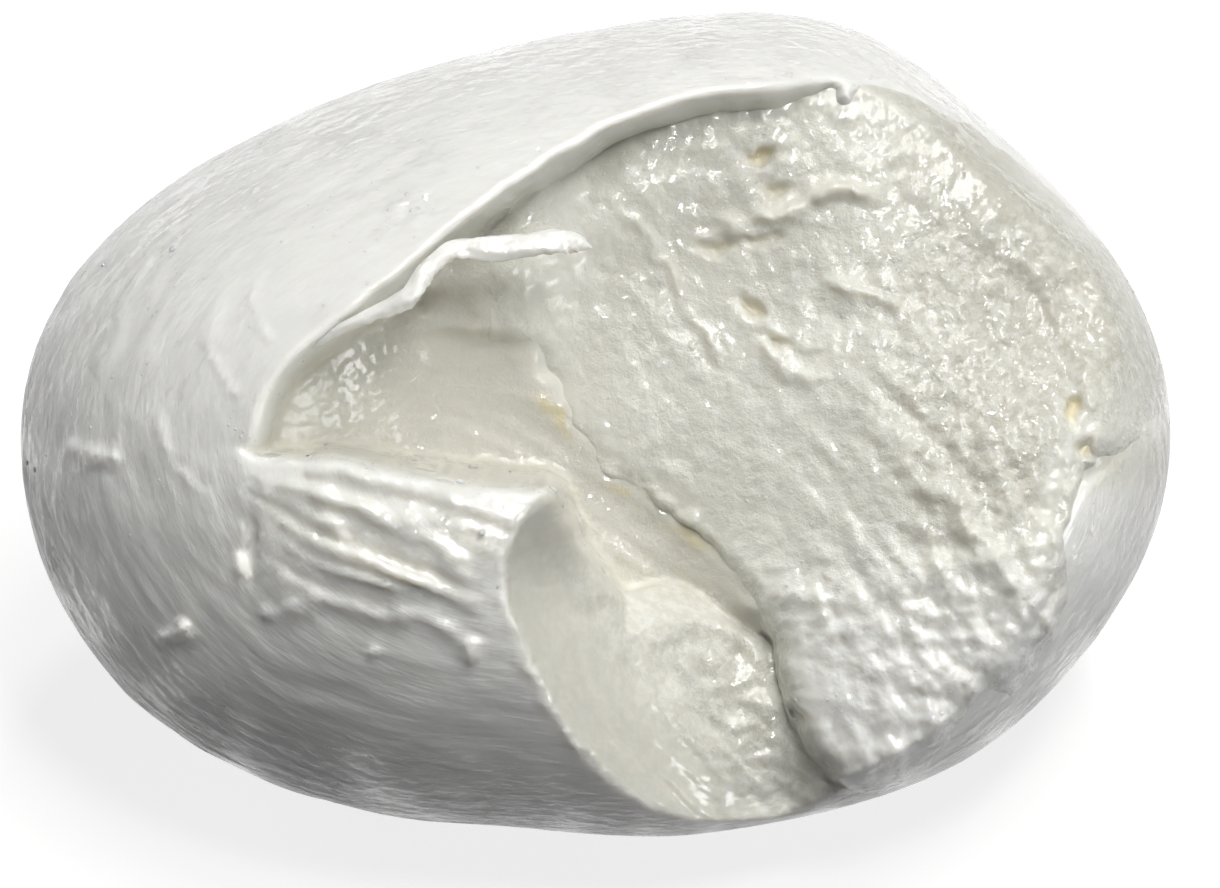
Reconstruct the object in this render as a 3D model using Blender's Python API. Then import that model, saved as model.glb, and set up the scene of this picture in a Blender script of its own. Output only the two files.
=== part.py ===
"""A mozzarella ball torn open by hand: one solid, standing on the flat that its own weight presses into it.

The shape is worked out in the tear's own frame, in millimetres, with the ball's centre as origin:
u runs right along the ball, v runs up the torn face, and w points out of the torn face, which leans back.
The torn side is a stack of sheets, each with its own height over (u, v): skin, lower half with its lip and
slab, flesh, and the hollow behind them. The highest sheet is the one that shows, and each sheet falls away
steeply past its torn edge. A curl of skin stands in front of the hollow, and grows out of the upper rim.
"""

import math

import bmesh
import bpy
import numpy as np
from mathutils import Matrix, Vector

# Driving dimensions, in millimetres and degrees
BALL_LENGTH = 88.0
BALL_WIDTH = 68.0
BALL_HEIGHT = 58.0
TEAR_LEAN = 40.0  # how far the torn face leans back from upright
FLAT_CUT = 2.6  # how much of the ball's height its own weight presses flat
EDGE_FALL = 7.0  # how steeply a sheet falls away past its torn edge, as height over distance
EDGE_ROUND = 0.9  # over what distance a torn edge is rounded
CURL_THICKNESS = 1.4

FRONT_CELLS = 58  # grid cells across the torn side
BACK_CELLS = FRONT_CELLS // 2  # half as many, so that the two grids sew together

MM = 0.001
LEAN = math.radians(TEAR_LEAN)
HALF_U = BALL_LENGTH / 2
HALF_V = math.hypot(BALL_WIDTH / 2 * math.sin(LEAN), BALL_HEIGHT / 2 * math.cos(LEAN))
HALF_W = BALL_WIDTH * BALL_HEIGHT / 4 / HALF_V
SHEAR = ((BALL_HEIGHT / 2) ** 2 - (BALL_WIDTH / 2) ** 2) * math.sin(LEAN) * math.cos(LEAN) / HALF_V**2
FAR = 2 * BALL_LENGTH  # well outside the ball, where the sheets' outlines close

# How the outline leaves a plain ellipse: direction in degrees, share of the radius, spread in degrees
OUTLINE_SWELLS = (
    (68, 0.095, 17),  # the shoulder, where the tear reaches the top
    (120, -0.062, 30),
    (-136, 0.034, 24),
    (-98, -0.028, 12),
    (-52, 0.026, 15),
)


def ease(low, high, x):
    """0 below low, 1 above high, and smooth between them."""
    t = np.clip((x - low) / (high - low), 0, 1)
    return t * t * (3 - 2 * t)


def soft_max(a, b, blend):
    """The higher of two sheets, with the crease between them filled over about the blend height."""
    return (a + b + np.sqrt((a - b) ** 2 + blend**2)) / 2


def soft_min(a, b, blend):
    """The lower of two sheets, with the ridge between them worn down over about the blend height."""
    return (a + b - np.sqrt((a - b) ** 2 + blend**2)) / 2


def curve(points, steps=6):
    """Close-set points on a smooth curve through the given ones."""
    p = np.array(points, float)
    p = np.vstack([2 * p[0] - p[1], p, 2 * p[-1] - p[-2]])
    t = np.linspace(0, 1, steps, endpoint=False)[:, None]
    spans = [
        0.5 * (2 * b + (c - a) * t + (2 * a - 5 * b + 4 * c - d) * t**2 + (3 * b - a - 3 * c + d) * t**3)
        for a, b, c, d in zip(p[:-3], p[1:-2], p[2:-1], p[3:])
    ]
    return np.vstack(spans + [p[-2:-1]])


def to_path(u, v, path):
    """For each point: its distance to the path, and how far along the path that is, 0 to 1."""
    lengths = np.hypot(*np.diff(path, axis=0).T)
    starts = np.concatenate([[0], np.cumsum(lengths)])
    nearest, along = np.full(u.shape, np.inf), np.zeros(u.shape)
    for (au, av), (bu, bv), length, start in zip(path[:-1], path[1:], lengths, starts):
        du, dv = (bu - au) / length, (bv - av) / length
        ahead = np.clip((u - au) * du + (v - av) * dv, 0, length)
        gap = np.hypot(u - au - ahead * du, v - av - ahead * dv)
        along = np.where(gap < nearest, (start + ahead) / starts[-1], along)
        nearest = np.minimum(nearest, gap)
    return nearest, along


def past_edge(u, v, outline):
    """For each point: its distance out of the outline, negative inside it."""
    closed = np.vstack([outline, outline[:1]])
    within = np.zeros(u.shape, bool)
    for (au, av), (bu, bv) in zip(closed[:-1], closed[1:]):
        if av != bv:
            within ^= ((av > v) != (bv > v)) & (u < (bu - au) * (v - av) / (bv - av) + au)
    gap = to_path(u, v, closed)[0]
    return np.where(within, -gap, gap)


def fall(distance, slope=EDGE_FALL):
    """How far a sheet has fallen at a distance past its edge, which is rounded over."""
    return slope * (distance + np.sqrt(distance**2 + EDGE_ROUND**2)) / 2


def sheet_through(soundings, reach=6.0):
    """A smooth sheet through soundings (u, v, height). Reach rounds it off at each of them."""
    s = np.array(soundings, float)
    count = len(s)
    matrix = np.zeros((count + 3, count + 3))
    matrix[:count, :count] = np.sqrt((s[:, None, 0] - s[:, 0]) ** 2 + (s[:, None, 1] - s[:, 1]) ** 2 + reach**2)
    matrix[:count, count:] = np.column_stack([np.ones(count), s[:, :2]])
    matrix[count:, :count] = matrix[:count, count:].T
    weights = np.linalg.solve(matrix, np.concatenate([s[:, 2], np.zeros(3)]))

    def height(u, v):
        total = weights[count] + weights[count + 1] * u + weights[count + 2] * v
        for (su, sv, _), weight in zip(s, weights):
            total = total + weight * np.sqrt((u - su) ** 2 + (v - sv) ** 2 + reach**2)
        return total

    return height


def swell(phi):
    """How far the outline stands out in direction phi, as a multiple of the plain ellipse."""
    total = np.ones(np.shape(phi))
    for direction, share, spread in OUTLINE_SWELLS:
        turn = (np.degrees(phi) - direction + 180) % 360 - 180
        total = total + share * np.exp(-((turn / spread) ** 2))
    return total


def skin(u, v, side=1):
    """Height of the uncut ball, on its torn side (1) or its far side (-1)."""
    r = np.hypot(u / HALF_U, v / HALF_V) / swell(np.arctan2(v / HALF_V, u / HALF_U))
    return SHEAR * v + side * HALF_W * np.sqrt(np.clip(1 - r**2, 0, None))


# The torn skin's upper rim, from the corner of the tear on the left, over the notch, down the right side
RIM = curve([(-25.2, -1.2), (-24.2, 2.8), (-18.0, 8.9), (-11.2, 14.3), (-2.8, 20.2), (3.4, 23.4), (8.0, 24.9),
             (17.6, 26.3), (19.2, 25.2), (23.4, 24.8), (28.2, 22.4), (36.8, 15.6), (42.8, 6.2)])
# The lower half's torn edge, from the same corner: the lip, then the ledge below it
LIP = curve([(-25.2, -1.8), (-18.6, -2.0), (-9.0, -4.0), (-3.6, -4.7), (-1.0, -9.0), (2.5, -13.4)])
LEDGE = curve([(2.5, -13.4), (3.4, -12.4), (8.6, -12.9), (11.4, -14.6)])
# The flesh's near edge, first over the slab and then, round the tongue, over the skin on the right
FLESH_EDGE = curve([(-5.8, 3.4), (-1.6, -0.9), (2.8, -4.9), (8.7, -9.7), (13.4, -16.2), (15.7, -22.9),
                    (19.8, -27.6), (23.9, -27.3), (28.3, -21.6), (31.5, -20.6), (36.1, -12.9), (36.6, -4.8),
                    (37.8, -2.7)])

# Each sheet's outline: its torn edge, closed through the ball where another sheet covers it
UPPER_SKIN_GAP = np.vstack([RIM, [(FAR, 6), (FAR, -2.7), (37, -3.6), (33.5, -11), (26, -20.5), (22, -25.5),
                                  (18, -26), (17, -FAR), (-FAR, -FAR), (-FAR, -6), (-27.5, -3)]])
LOWER_HALF = np.vstack([LIP, LEDGE[1:], [(20, -17), (22, -FAR), (-FAR, -FAR), (-FAR, 8), (-29, 2)]])
FLESH_OUTLINE = np.vstack([FLESH_EDGE, [(FAR, -2.7), (FAR, FAR), (-4, FAR), (-6, 12)]])

hollow_height = sheet_through([(-23.5, 0.2, 18), (-18.9, -0.6, 14.5), (-12.7, 9.4, 14), (-11.2, 0, 10.5),
                               (-5.8, 14, 14), (-4.3, 7.1, 11), (1.8, 19.3, 14), (4.9, -10.6, 7)])
flesh_height = sheet_through([(-2.8, 2.5, 11.5), (0.3, 17, 14), (8, 14, 12), (14, 22.4, 9), (25.6, 17.8, 9.5),
                              (38.7, 10, 8), (8, 0, 12.6), (15.6, 2.5, 15.5), (25.6, 6, 16.5), (34.8, 2.5, 14),
                              (14.1, -9, 15), (24.9, -5.2, 18.5), (34.1, -9, 20), (17.2, -22.1, 14),
                              (21.8, -16, 18), (29.5, -19, 17.5)])
slab_height = sheet_through([(-6.4, -5.2, 27), (-6, -14.4, 29), (-3.9, -19.8, 27.6), (3.4, -28.1, 18),
                             (-1.2, -8.7, 21.5), (0.3, -16.7, 20), (6.4, -16, 13.5), (8, -27.5, 13.5),
                             (15.6, -22.1, 11.5), (-13, -14, 40)], reach=5.0)

# Folds of pulled curd: where each runs, how high it stands and half its width
FOLDS = (
    (curve([(-24.5, -3.0), (-18.9, -5.2), (-12.8, -7.9), (-7.6, -11.5)]), 1.2, 1.5),  # below the lip
    (curve([(8.0, 15.4), (14.9, 16.7), (22.5, 17.0)]), 1.0, 1.5),
    (curve([(20.0, 1.0), (25.0, -4.0), (29.8, -9.6), (32.4, -14.4)]), 0.8, 1.8),
    (curve([(34.4, -17.5), (35.8, -6.0), (37.4, -2.4)]), 1.2, 1.5),  # the flesh's right edge
    (curve([(20.5, 26.6), (27.0, 24.4), (38.5, 15.3), (42.6, 8.0)]), 0.7, 1.5),  # the rim's right half
)


def front(u, v):
    """Height of the torn side: the highest of its sheets."""
    whole = skin(u, v)

    # The rim overhangs the hollow on the left, and slopes gently into the flesh on the right
    along_rim = to_path(u, v, RIM)[1]
    upper_skin = whole - fall(-past_edge(u, v, UPPER_SKIN_GAP), EDGE_FALL * (1 - 0.7 * ease(0.42, 0.62, along_rim)))

    to_lip, along_lip = to_path(u, v, LIP)
    sag = (0.8 + 3.6 * ease(0.1, 0.7, along_lip)) * np.exp(-((to_lip / 7.0) ** 2))
    ledge_slope = EDGE_FALL * (1 - 0.75 * ease(2.2, 4.2, u))
    lower_half = soft_min(whole - sag, slab_height(u, v), 1.2) - fall(past_edge(u, v, LOWER_HALF), ledge_slope)

    # The tongue lies on top of the skin, and so does the flesh's right edge
    proud = 1.4 * ease(-0.5, -4.0, v) * ease(12.0, 17.0, u)
    flesh = soft_min(flesh_height(u, v), whole + proud, 0.6) - fall(past_edge(u, v, FLESH_OUTLINE))

    hollow = soft_min(hollow_height(u, v), whole - 1.0, 1.0)
    height = soft_max(soft_max(soft_max(hollow, flesh, 0.4), lower_half, 0.2), upper_skin, 0.15)
    for path, rise, half_width in FOLDS:
        gap, along = to_path(u, v, path)
        height = height + rise * ease(0, 0.25, along) * ease(1, 0.75, along) * np.exp(-((gap / half_width) ** 2))

    # The torn side and the far side meet at the outline
    r = np.hypot(u / HALF_U, v / HALF_V)
    return whole + (height - whole) * ease(1.0, 0.93, r)


def disc_grid(cells):
    """A square grid pressed round into a unit disc, as (cells + 1)^2 points, row by row."""
    line = np.linspace(-1, 1, cells + 1)
    x, y = (a.ravel() for a in np.meshgrid(line, line))
    return x * np.sqrt(1 - y**2 / 2), y * np.sqrt(1 - x**2 / 2)


def over_ball(p, q):
    """Where (u, v) lies for a point of the unit disc wrapped over half the ball."""
    phi = np.arctan2(q, p)
    out = np.sin(np.hypot(p, q) * math.pi / 2) * swell(phi)
    return HALF_U * out * np.cos(phi), HALF_V * out * np.sin(phi)


def torn_points(p, q):
    u, v = over_ball(p, q)
    return np.column_stack([u, v, front(u, v)])


def even_out(p, q, rounds=40):
    """Slides the grid's inner points towards long edges, so that steep walls get their share of them."""
    side = math.isqrt(len(p))
    grid = np.dstack([p.reshape(side, side), q.reshape(side, side)])
    core = (slice(1, -1), slice(1, -1))
    for _ in range(rounds):
        xyz = torn_points(*grid.reshape(-1, 2).T).reshape(side, side, 3)
        pull = np.zeros(grid.shape)
        total = np.zeros((side, side, 1))
        for axis in (0, 1):
            near = (slice(0, -1), slice(None)) if axis == 0 else (slice(None), slice(0, -1))
            far = (slice(1, None), slice(None)) if axis == 0 else (slice(None), slice(1, None))
            span = np.linalg.norm(np.diff(xyz, axis=axis), axis=2)[..., None]
            for here, there in ((near, far), (far, near)):
                pull[here] += span * grid[there]
                total[here] += span
        grid[core] += 0.5 * (pull[core] / total[core] - grid[core])
    return grid.reshape(-1, 2).T


def border(cells):
    """Indices of a grid's outermost points, once round."""
    side = cells + 1
    bottom = [i for i in range(cells)]
    right = [cells + side * i for i in range(cells)]
    top = [side * cells + cells - i for i in range(cells)]
    left = [side * (cells - i) for i in range(cells)]
    return bottom + right + top + left


def grid_faces(cells, outward):
    """The grid's quads, wound so that they face along +w when outward, or along -w."""
    side = cells + 1
    corners = [row * side + column for row in range(cells) for column in range(cells)]
    quads = [(a, a + 1, a + side + 1, a + side) for a in corners]
    return quads if outward else [quad[::-1] for quad in quads]


def to_world(points):
    """Turns points of the tear's frame upright."""
    turn = np.array([[1, 0, 0], [0, math.sin(LEAN), -math.cos(LEAN)], [0, math.cos(LEAN), math.sin(LEAN)]])
    return points @ turn.T


def add_object(name, points, faces):
    mesh = bpy.data.meshes.new(name)
    mesh.from_pydata((points * MM).tolist(), [], faces)
    tidy = bmesh.new()
    tidy.from_mesh(mesh)
    bmesh.ops.delete(tidy, geom=[x for x in tidy.verts if not x.link_faces], context="VERTS")
    bmesh.ops.triangulate(tidy, faces=tidy.faces, quad_method="BEAUTY")
    bmesh.ops.recalc_face_normals(tidy, faces=tidy.faces)
    tidy.to_mesh(mesh)
    tidy.free()
    obj = bpy.data.objects.new(name, mesh)
    bpy.context.scene.collection.objects.link(obj)
    return obj


def make_ball():
    """The ball as one closed mesh: a fine grid on the torn side sewn to a coarse one on the far side."""
    torn_side = torn_points(*even_out(*disc_grid(FRONT_CELLS)))
    u, v = over_ball(*disc_grid(BACK_CELLS))
    points = np.vstack([torn_side, np.column_stack([u, v, skin(u, v, -1)])])

    # The coarse border's points are every second one of the fine border; the points between them fan out
    fine = border(FRONT_CELLS)
    start = len(torn_side)
    shared = {start + i: fine[2 * step] for step, i in enumerate(border(BACK_CELLS))}
    faces = grid_faces(FRONT_CELLS, True)
    for quad in grid_faces(BACK_CELLS, False):
        faces.append(tuple(shared.get(start + i, start + i) for i in quad))
    for step, middle in enumerate(fine[1::2]):
        faces.append((fine[(2 * step + 2) % len(fine)], middle, fine[2 * step]))

    world = to_world(points)
    world[:, 2] = np.maximum(world[:, 2], FLAT_CUT - BALL_HEIGHT / 2)
    return add_object("mozzarella_ball", world, faces)


# The curl's middle line, with how deep it lies under the ball's outer surface and its half-width front to back
CURL = curve([(-22.2, 5.6, 2.2, 1.2), (-18.2, 7.6, 1.6, 1.3), (-14.4, 9.8, 1.4, 1.3), (-12.4, 13.0, 1.8, 1.6),
              (-9.6, 14.3, 3.0, 1.6), (-5.0, 14.1, 4.2, 1.4), (-0.6, 14.5, 5.0, 1.0)])
CURL_SIDES = 8


def make_curl():
    """The curl: an oval section swept along its middle line, with a pole at either end."""
    middle = np.column_stack([CURL[:, :2], skin(CURL[:, 0], CURL[:, 1]) - CURL[:, 2]])
    ahead = np.gradient(middle, axis=0)
    ahead /= np.linalg.norm(ahead, axis=1)[:, None]
    deep = np.array([0.0, 0.45, 0.9]) - ahead * (ahead @ np.array([0.0, 0.45, 0.9]))[:, None]
    deep /= np.linalg.norm(deep, axis=1)[:, None]
    across = np.cross(ahead, deep)

    points = [middle[0] - 0.3 * ahead[0]]
    for centre, out, side, half in zip(middle, deep, across, CURL[:, 3]):
        for step in range(CURL_SIDES):
            turn = 2 * math.pi * step / CURL_SIDES
            points.append(centre + half * math.cos(turn) * out + CURL_THICKNESS / 2 * math.sin(turn) * side)
    points.append(middle[-1] + 0.4 * ahead[-1])

    rings = len(middle)
    last = len(points) - 1
    faces = []
    for step in range(CURL_SIDES):
        beside = (step + 1) % CURL_SIDES
        faces.append((0, 1 + beside, 1 + step))
        faces.append((last, last - CURL_SIDES + step, last - CURL_SIDES + beside))
        for ring in range(rings - 1):
            a = 1 + ring * CURL_SIDES
            b = a + CURL_SIDES
            faces.append((a + step, a + beside, b + beside, b + step))
    return add_object("curl", to_world(np.array(points)), faces)


def join(ball, curl):
    """Unites the curl with the ball and removes the curl's own object."""
    union = ball.modifiers.new("curl", "BOOLEAN")
    union.operation = "UNION"
    union.object = curl
    joined = bpy.data.meshes.new_from_object(ball.evaluated_get(bpy.context.evaluated_depsgraph_get()))
    ball.modifiers.clear()
    ball.data = joined
    bpy.data.objects.remove(curl)


def stand_on_origin(obj):
    """Moves the mesh so that the middle of its box's underside is the origin."""
    corners = np.array([x.co for x in obj.data.vertices])
    low, high = corners.min(axis=0), corners.max(axis=0)
    middle = (low + high) / 2
    obj.data.transform(Matrix.Translation(Vector((-middle[0], -middle[1], -low[2]))))


def curd_material():
    material = bpy.data.materials.new("mozzarella_curd")
    material.use_nodes = True
    shader = material.node_tree.nodes["Principled BSDF"]
    shader.inputs["Base Color"].default_value = (0.86, 0.85, 0.79, 1)
    shader.inputs["Roughness"].default_value = 0.35
    shader.inputs["Metallic"].default_value = 0.0
    return material


def build():
    for obj in list(bpy.data.objects):
        bpy.data.objects.remove(obj)
    ball = make_ball()
    join(ball, make_curl())
    stand_on_origin(ball)
    ball.data.shade_smooth()
    ball.data.materials.clear()
    ball.data.materials.append(curd_material())


build()
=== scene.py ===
"""The looks of a mozzarella ball torn open by hand: wet skin outside, and stringy, granular curd in the tear.

Shapes are worked out in the tear's own frame, in millimetres, with the ball's centre as origin: u runs right
along the ball, v runs up the torn face, and w points out of the torn face, which leans back. Heights along w
are worked out on a chart, a fine grid over (u, v), and the meshes then take their points from the charts.
"""

import math
from functools import partial
from types import SimpleNamespace

import bmesh
import bpy
import numpy as np
from mathutils import Matrix, Vector


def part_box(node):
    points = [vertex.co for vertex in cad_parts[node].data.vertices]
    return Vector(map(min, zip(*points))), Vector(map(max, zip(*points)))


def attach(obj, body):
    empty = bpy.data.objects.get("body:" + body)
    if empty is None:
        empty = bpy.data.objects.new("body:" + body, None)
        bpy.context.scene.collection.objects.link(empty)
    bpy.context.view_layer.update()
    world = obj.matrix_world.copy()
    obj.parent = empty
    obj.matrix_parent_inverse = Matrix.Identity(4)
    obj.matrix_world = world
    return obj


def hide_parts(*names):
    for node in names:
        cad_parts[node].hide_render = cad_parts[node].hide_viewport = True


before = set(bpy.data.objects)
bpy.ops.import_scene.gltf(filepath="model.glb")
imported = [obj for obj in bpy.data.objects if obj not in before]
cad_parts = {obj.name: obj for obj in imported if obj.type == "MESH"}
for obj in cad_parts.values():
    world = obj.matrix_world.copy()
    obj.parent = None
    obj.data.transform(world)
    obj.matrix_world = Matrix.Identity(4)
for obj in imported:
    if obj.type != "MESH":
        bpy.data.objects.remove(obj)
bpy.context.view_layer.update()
box_low, box_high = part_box("mozzarella_ball")

MM = 0.001
BALL_LENGTH = (box_high.x - box_low.x) / MM
BALL_WIDTH = 68.0  # before it was torn
BALL_HEIGHT = 58.0  # before its own weight flattened it
FLAT_CUT = 2.6  # how much of the height is pressed flat
LEAN = math.radians(40.0)  # how far the torn face leans back from upright

HALF_U = BALL_LENGTH / 2
HALF_V = math.hypot(BALL_WIDTH / 2 * math.sin(LEAN), BALL_HEIGHT / 2 * math.cos(LEAN))
HALF_W = BALL_WIDTH * BALL_HEIGHT / 4 / HALF_V
SHEAR = ((BALL_HEIGHT / 2) ** 2 - (BALL_WIDTH / 2) ** 2) * math.sin(LEAN) * math.cos(LEAN) / HALF_V**2
FAR = 2 * BALL_LENGTH  # well outside the ball, where outlines close

EDGE_FALL = 8.0  # how steeply a sheet falls away past its torn edge, as height over distance
EDGE_ROUND = 0.45  # over what distance a torn edge is rounded

BODY_CELLS = 268  # grid cells across the body's torn side; its far side has half as many
FLESH_CELLS = 262
EVEN_ROUNDS = 120  # how often a grid's points slide towards where they are needed
UNKNOT_ROUNDS = 80  # and how often after that only folded cells are mended

# How the outline leaves a plain ellipse: direction in degrees, share of the radius, spread in degrees
OUTLINE_SWELLS = (
    (68, 0.095, 17),  # the shoulder, where the tear reaches the top
    (120, -0.062, 30),
    (-136, 0.034, 24),
    (-98, -0.028, 12),
    (-52, 0.026, 15),
)

# ---------------------------------------------------------------- shapes in the tear's frame


def ease(low, high, x):
    """0 below low, 1 above high, and smooth between them."""
    t = np.clip((x - low) / (high - low), 0, 1)
    return t * t * (3 - 2 * t)


def soft_max(a, b, blend):
    """The higher of two sheets, with the crease between them filled over about the blend height."""
    return (a + b + np.sqrt((a - b) ** 2 + blend**2)) / 2


def soft_min(a, b, blend):
    """The lower of two sheets, with the ridge between them worn down over about the blend height."""
    return (a + b - np.sqrt((a - b) ** 2 + blend**2)) / 2


def curve(points, steps=6):
    """Close-set points on a smooth curve through the given ones."""
    p = np.array(points, float)
    p = np.vstack([2 * p[0] - p[1], p, 2 * p[-1] - p[-2]])
    t = np.linspace(0, 1, steps, endpoint=False)[:, None]
    spans = [
        0.5 * (2 * b + (c - a) * t + (2 * a - 5 * b + 4 * c - d) * t**2 + (3 * b - a - 3 * c + d) * t**3)
        for a, b, c, d in zip(p[:-3], p[1:-2], p[2:-1], p[3:])
    ]
    return np.vstack(spans + [p[-2:-1]])


def to_path(u, v, path):
    """For each point: its distance to the path, how far along that is (0 to 1), and the heading there."""
    lengths = np.hypot(*np.diff(path, axis=0).T)
    starts = np.concatenate([[0], np.cumsum(lengths)])
    nearest, along, turn = np.full(u.shape, np.inf), np.zeros(u.shape), np.zeros(u.shape)
    for (au, av), (bu, bv), length, start in zip(path[:-1], path[1:], lengths, starts):
        du, dv = (bu - au) / length, (bv - av) / length
        ahead = np.clip((u - au) * du + (v - av) * dv, 0, length)
        gap = np.hypot(u - au - ahead * du, v - av - ahead * dv)
        closer = gap < nearest
        along[closer] = ((start + ahead) / starts[-1])[closer]
        turn[closer] = math.atan2(dv, du)
        nearest = np.minimum(nearest, gap)
    return nearest, along, turn


def past_edge(u, v, outline):
    """For each point: its distance out of the outline, negative inside it."""
    closed = np.vstack([outline, outline[:1]])
    within = np.zeros(u.shape, bool)
    for (au, av), (bu, bv) in zip(closed[:-1], closed[1:]):
        if av != bv:
            within ^= ((av > v) != (bv > v)) & (u < (bu - au) * (v - av) / (bv - av) + au)
    gap = to_path(u, v, closed)[0]
    return np.where(within, -gap, gap)


def fall(distance, slope=EDGE_FALL, rounded=EDGE_ROUND):
    """How far a sheet has fallen at a distance past its edge, which is rounded over."""
    return slope * (distance + np.sqrt(distance**2 + rounded**2)) / 2


def sheet_through(soundings, reach=6.0):
    """A smooth sheet through soundings (u, v, height). Reach rounds it off at each of them."""
    s = np.array(soundings, float)
    count = len(s)
    matrix = np.zeros((count + 3, count + 3))
    apart = (s[:, None, :2] - s[:, :2]) ** 2
    matrix[:count, :count] = np.sqrt(apart.sum(axis=2) + reach**2)
    matrix[:count, count:] = np.column_stack([np.ones(count), s[:, :2]])
    matrix[count:, :count] = matrix[:count, count:].T
    weights = np.linalg.solve(matrix, np.concatenate([s[:, 2], np.zeros(3)]))

    def height(u, v):
        total = weights[count] + weights[count + 1] * u + weights[count + 2] * v
        for (su, sv, _), weight in zip(s, weights):
            total = total + weight * np.sqrt((u - su) ** 2 + (v - sv) ** 2 + reach**2)
        return total

    return height


def swell(phi):
    """How far the outline stands out in direction phi, as a multiple of the plain ellipse."""
    total = np.ones(np.shape(phi))
    for direction, share, spread in OUTLINE_SWELLS:
        turn = (np.degrees(phi) - direction + 180) % 360 - 180
        total = total + share * np.exp(-((turn / spread) ** 2))
    return total


def skin(u, v, side=1):
    """Height of the uncut ball, on its torn side (1) or its far side (-1)."""
    r = np.hypot(u / HALF_U, v / HALF_V) / swell(np.arctan2(v / HALF_V, u / HALF_U))
    return SHEAR * v + side * HALF_W * np.sqrt(np.clip(1 - r**2, 0, None))


# ---------------------------------------------------------------- charts

CHART_STEP = 0.125
chart_u = np.arange(-46, 46 + CHART_STEP / 2, CHART_STEP)
chart_v = np.arange(-34, 36 + CHART_STEP / 2, CHART_STEP)
U, V = np.meshgrid(chart_u, chart_v)


def read(chart, u, v):
    """The chart's values at any points, blended between its cells."""
    x = np.clip((u - chart_u[0]) / CHART_STEP, 0, len(chart_u) - 1.001)
    y = np.clip((v - chart_v[0]) / CHART_STEP, 0, len(chart_v) - 1.001)
    i, j = x.astype(int), y.astype(int)
    fx, fy = x - i, y - j
    low = chart[j, i] * (1 - fx) + chart[j, i + 1] * fx
    high = chart[j + 1, i] * (1 - fx) + chart[j + 1, i + 1] * fx
    return low * (1 - fy) + high * fy


def chart_of(function, every=2):
    """A chart of a smooth function of (u, v), worked out on every so many cells and blended between them."""
    coarse = function(U[::every, ::every], V[::every, ::every])
    x = np.arange(len(chart_u)) / every
    y = np.arange(len(chart_v)) / every
    i = np.minimum(x.astype(int), coarse.shape[1] - 2)
    j = np.minimum(y.astype(int), coarse.shape[0] - 2)
    fx, fy = (x - i)[None, :], (y - j)[:, None]
    wide = coarse[:, i] * (1 - fx) + coarse[:, i + 1] * fx
    return wide[j] * (1 - fy) + wide[j + 1] * fy


def blur(chart, width):
    """The chart smoothed over about width, in millimetres."""
    reach = int(2.5 * width / CHART_STEP)
    steps = np.arange(-reach, reach + 1)
    shares = np.exp(-0.5 * (steps * CHART_STEP / width) ** 2)
    shares /= shares.sum()
    for axis in (0, 1):
        chart = sum(share * np.roll(chart, step, axis) for step, share in zip(steps, shares))
    return chart


def noise(u, v, size, seed):
    """Smooth random lumps of about the given size, from -1 to 1."""
    turn = np.random.default_rng(seed).uniform(0, 2 * math.pi, (256, 256))
    x, y = u / size + 100, v / size + 100
    i, j = np.floor(x).astype(int), np.floor(y).astype(int)
    fx, fy = x - i, y - j
    sx, sy = fx**3 * (fx * (6 * fx - 15) + 10), fy**3 * (fy * (6 * fy - 15) + 10)

    def corner(di, dj):
        angle = turn[(j + dj) % 256, (i + di) % 256]
        return np.cos(angle) * (fx - di) + np.sin(angle) * (fy - dj)

    low = corner(0, 0) * (1 - sx) + corner(1, 0) * sx
    high = corner(0, 1) * (1 - sx) + corner(1, 1) * sx
    return 1.5 * (low * (1 - sy) + high * sy)


def lumps(size, seed):
    """Noise on the whole chart."""
    return noise(U, V, size, seed)


# The chart's points moved about a little, which makes ridges and pits uneven
WARPED_U = U + 0.55 * lumps(2.6, 40) + 0.3 * lumps(1.0, 43)
WARPED_V = V + 0.55 * lumps(2.6, 41) + 0.3 * lumps(1.0, 44)


def noise_3d(points, seed):
    """Smooth random lumps of unit size in space, from -1 to 1."""
    way = np.random.default_rng(seed).normal(size=(32, 32, 32, 3))
    way /= np.linalg.norm(way, axis=3)[..., None]
    p = points + 500
    cell = np.floor(p).astype(int)
    f = p - cell
    s = f**3 * (f * (6 * f - 15) + 10)
    total = np.zeros(len(points))
    for corner in np.ndindex(2, 2, 2):
        at = (cell + corner) % 32
        weight = np.prod(np.where(corner, s, 1 - s), axis=1)
        total += weight * np.einsum("ij,ij->i", way[at[:, 0], at[:, 1], at[:, 2]], f - corner)
    return 1.5 * total


def heading_along(guides):
    """Charts of the grain's direction, as cosine and sine, blended from the guide lines'."""

    def blended(part):
        def at(u, v):
            total = np.zeros(u.shape)
            for guide in guides:
                gap, _, turn = to_path(u, v, guide)
                total += part(turn) / (gap**2 + 4.0)
            return total

        return chart_of(at, every=8)

    c, s = blended(np.cos), blended(np.sin)
    size = np.hypot(c, s) + 1e-9
    return c / size, s / size


def combed(width, length, heading, seed):
    """Streaks of the given width and length in millimetres that follow the grain, scaled to about -2 to 2."""
    speckle = lumps(width, seed)
    c, s = heading
    stride = width * 0.6
    total = speckle.copy()
    for way in (1, -1):
        u, v = U.copy(), V.copy()
        for _ in range(max(1, round(length / 2 / stride))):
            i = np.clip(((u - chart_u[0]) / CHART_STEP).astype(int), 0, len(chart_u) - 1)
            j = np.clip(((v - chart_v[0]) / CHART_STEP).astype(int), 0, len(chart_v) - 1)
            u += way * stride * c[j, i]
            v += way * stride * s[j, i]
            total += read(speckle, u, v)
    return total / total.std()


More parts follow.
